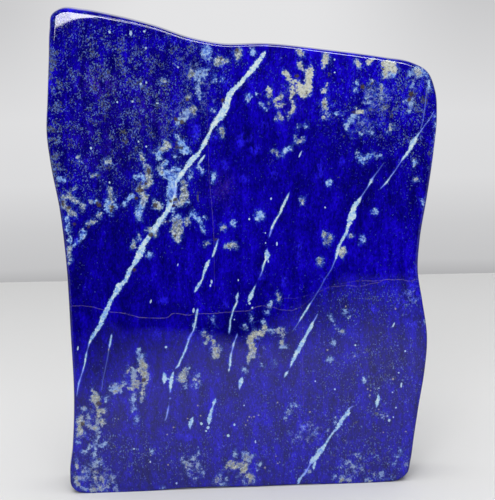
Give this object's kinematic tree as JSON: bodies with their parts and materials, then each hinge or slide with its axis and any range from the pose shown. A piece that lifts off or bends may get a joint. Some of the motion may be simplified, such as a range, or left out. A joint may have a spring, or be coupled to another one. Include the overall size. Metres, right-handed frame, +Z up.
{
  "type": "lapis lazuli slab",
  "caption": "Polished freeform slab of lapis lazuli that stands upright on a small ground foot, deep blue with pale diagonal veins and grey-beige patches.",
  "frame": {"origin": "under the middle of the stone, on the surface it stands on", "axes": "+Z up along the height of the slab, the broad polished face looks along -Y, +X to the right seen from that face"},
  "size_m": [0.1772, 0.0384, 0.2212],
  "materials": {
    "lapis": "polished stone, deep ultramarine blue with ice-blue veins, grey-beige patches and fine brassy specks"
  },
  "bodies": {
    "root": {"lapis_slab": "lapis"}
  },
  "joints": []
}
